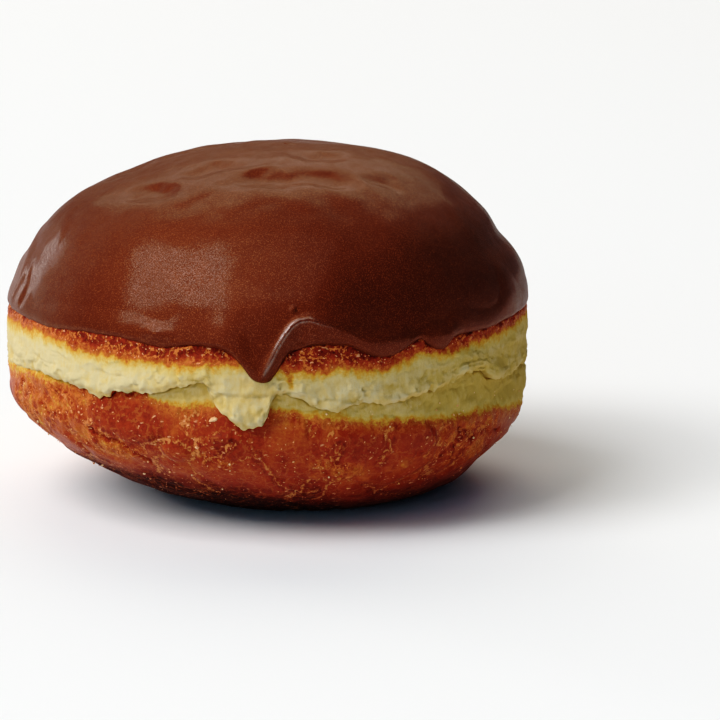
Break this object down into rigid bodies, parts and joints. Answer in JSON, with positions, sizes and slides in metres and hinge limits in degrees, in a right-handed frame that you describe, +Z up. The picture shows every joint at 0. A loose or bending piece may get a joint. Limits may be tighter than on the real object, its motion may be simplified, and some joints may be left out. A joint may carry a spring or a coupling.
{
  "type": "iced doughnut",
  "caption": "Round, tall, puffy yeast-raised doughnut without a hole: browned crust, a pale torn ring round its waist and a chocolate icing cap with small drips.",
  "frame": {"origin": "on the surface it stands on, under the middle of the doughnut's box", "axes": "+Z up from the flat spot it rests on to the icing's crown, -Y towards the side with the long drip, +X to the right as seen from that side"},
  "size_m": [0.0926, 0.0931, 0.061],
  "materials": {
    "dough": "fried brown crust, dry and faintly greasy, with a pale yellow crumb where the waist is torn",
    "icing": "set chocolate icing, smooth with a soft semi-gloss"
  },
  "bodies": {
    "root": {"dough": "dough", "icing": "icing"}
  },
  "joints": []
}
